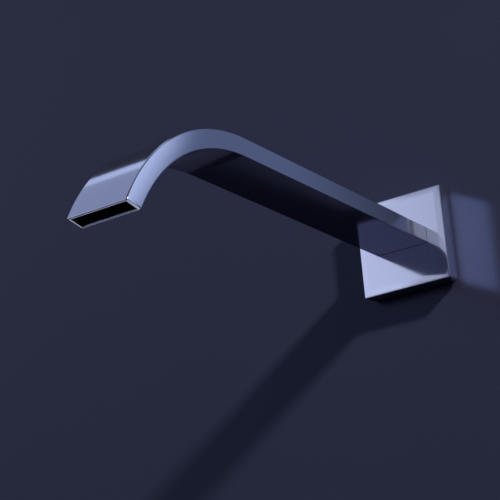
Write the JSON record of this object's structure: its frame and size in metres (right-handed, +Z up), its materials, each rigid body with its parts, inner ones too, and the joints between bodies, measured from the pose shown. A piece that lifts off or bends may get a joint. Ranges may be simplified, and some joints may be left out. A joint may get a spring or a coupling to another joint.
{
  "type": "wall-mounted basin spout",
  "caption": "Flat chromed tube spout that leaves the wall through a square cover plate, bends down and ends in an open rectangular mouth; the plate slides out to reach its fixing.",
  "frame": {"origin": "centre of the cover plate, on the finished wall", "axes": "+X to the right as seen from the room, +Y into the wall, +Z up"},
  "size_m": [0.05, 0.2739, 0.0736],
  "materials": {
    "mirror_chrome": "polished",
    "bare_brass": "turned",
    "stainless_steel": "plain",
    "black_rubber": "matte",
    "grey_foam": "foam",
    "red_fibre": "matte",
    "white_acetal": "moulded",
    "black_acetal": "moulded"
  },
  "bodies": {
    "spout": {"spout_tube": "mirror_chrome", "stream_straightener": "black_acetal", "tube_flange": "bare_brass", "spigot_o_ring_front": "black_rubber", "spigot_o_ring_rear": "black_rubber", "flange_screws": "stainless_steel", "wall_base": "bare_brass", "thread_washer": "red_fibre", "flow_regulator": "white_acetal", "regulator_ring": "black_rubber", "inlet_screen": "stainless_steel"},
    "cover": {"wall_plate": "mirror_chrome", "plate_grommet": "black_rubber", "plate_gasket": "grey_foam"}
  },
  "joints": [
    {"name": "cover_slide", "type": "slide", "parent": "spout", "child": "cover", "axis": [0, -1, 0], "range_m": [0, 0.155]}
  ]
}
